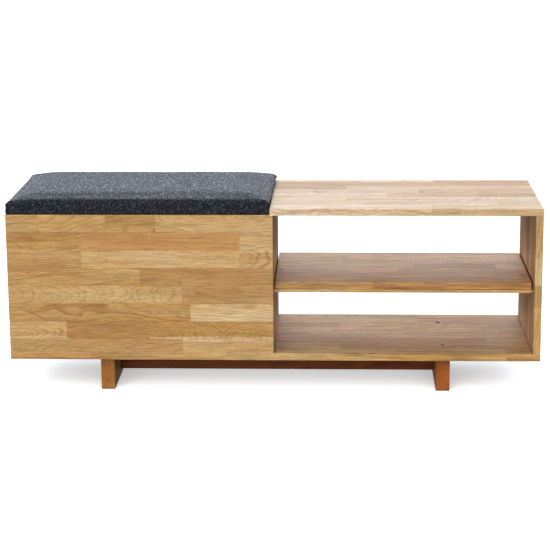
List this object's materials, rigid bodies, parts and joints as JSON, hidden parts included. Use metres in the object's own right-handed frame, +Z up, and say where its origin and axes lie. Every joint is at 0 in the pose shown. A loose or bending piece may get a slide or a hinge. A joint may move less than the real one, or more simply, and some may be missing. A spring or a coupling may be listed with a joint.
{
  "type": "entryway bench",
  "caption": "Low plank bench: a storage box under a hinged felt-covered seat on the left, an open bay with one loose shelf on the right, on an H-shaped base.",
  "frame": {"origin": "on the floor, under the middle of the bench", "axes": "+Z up, +X to the right seen from the front (along the length), -Y the front, +Y the back"},
  "size_m": [1.448, 0.381, 0.559],
  "materials": {
    "case_wood": "edge-glued honey-coloured staves, satin oil",
    "shelf_wood": "edge-glued honey-brown staves, satin oil",
    "base_wood": "red-brown solid wood, satin oil",
    "dowel_wood": "plain turned beech",
    "plywood": "sanded birch plywood",
    "felt": "heathered charcoal wool felt",
    "foam": "open-cell foam",
    "lining": "thin black lining cloth",
    "hinge_steel": "plated steel"
  },
  "bodies": {
    "carcass": {"back_panel": "case_wood", "base_dowel_left_lower": "dowel_wood", "base_dowel_left_upper": "dowel_wood", "base_dowel_right_lower": "dowel_wood", "base_dowel_right_upper": "dowel_wood", "base_rail": "base_wood", "bottom_panel": "case_wood", "case_dowel_divider_bottom_back": "dowel_wood", "case_dowel_divider_bottom_front": "dowel_wood", "case_dowel_left_bottom_back": "dowel_wood", "case_dowel_left_bottom_front": "dowel_wood", "case_dowel_right_bottom_back": "dowel_wood", "case_dowel_right_bottom_front": "dowel_wood", "case_dowel_right_top_back": "dowel_wood", "case_dowel_right_top_front": "dowel_wood", "divider_panel": "case_wood", "front_panel": "case_wood", "hinge_left_case_leaf": "hinge_steel", "hinge_left_case_screw_1": "hinge_steel", "hinge_left_case_screw_2": "hinge_steel", "hinge_left_case_screw_3": "hinge_steel", "hinge_left_pin": "hinge_steel", "hinge_right_case_leaf": "hinge_steel", "hinge_right_case_screw_1": "hinge_steel", "hinge_right_case_screw_2": "hinge_steel", "hinge_right_case_screw_3": "hinge_steel", "hinge_right_pin": "hinge_steel", "left_leg": "base_wood", "left_side_panel": "case_wood", "leg_screw_left_back": "hinge_steel", "leg_screw_left_front": "hinge_steel", "leg_screw_right_back": "hinge_steel", "leg_screw_right_front": "hinge_steel", "right_leg": "base_wood", "right_side_panel": "case_wood", "shelf_dowel_left_back": "dowel_wood", "shelf_dowel_left_front": "dowel_wood", "shelf_dowel_right_back": "dowel_wood", "shelf_dowel_right_front": "dowel_wood", "shelf_rail_back": "shelf_wood", "shelf_rail_front": "shelf_wood", "top_panel": "case_wood"},
    "lid": {"hinge_left_lid_leaf": "hinge_steel", "hinge_left_lid_screw_1": "hinge_steel", "hinge_left_lid_screw_2": "hinge_steel", "hinge_left_lid_screw_3": "hinge_steel", "hinge_right_lid_leaf": "hinge_steel", "hinge_right_lid_screw_1": "hinge_steel", "hinge_right_lid_screw_2": "hinge_steel", "hinge_right_lid_screw_3": "hinge_steel", "lid_board": "plywood", "lid_lining": "lining", "seat_cover": "felt", "seat_foam": "foam"},
    "shelf": {"shelf": "shelf_wood"}
  },
  "joints": [
    {"name": "lid_hinge", "type": "hinge", "parent": "carcass", "child": "lid", "pos_m": [-0.36775, 0.1875, 0.5103], "axis": [-1, 0, 0], "range_deg": [0, 95]},
    {"name": "shelf_slide", "type": "slide", "parent": "carcass", "child": "shelf", "axis": [0, -1, 0], "range_m": [0, 0.15]}
  ]
}
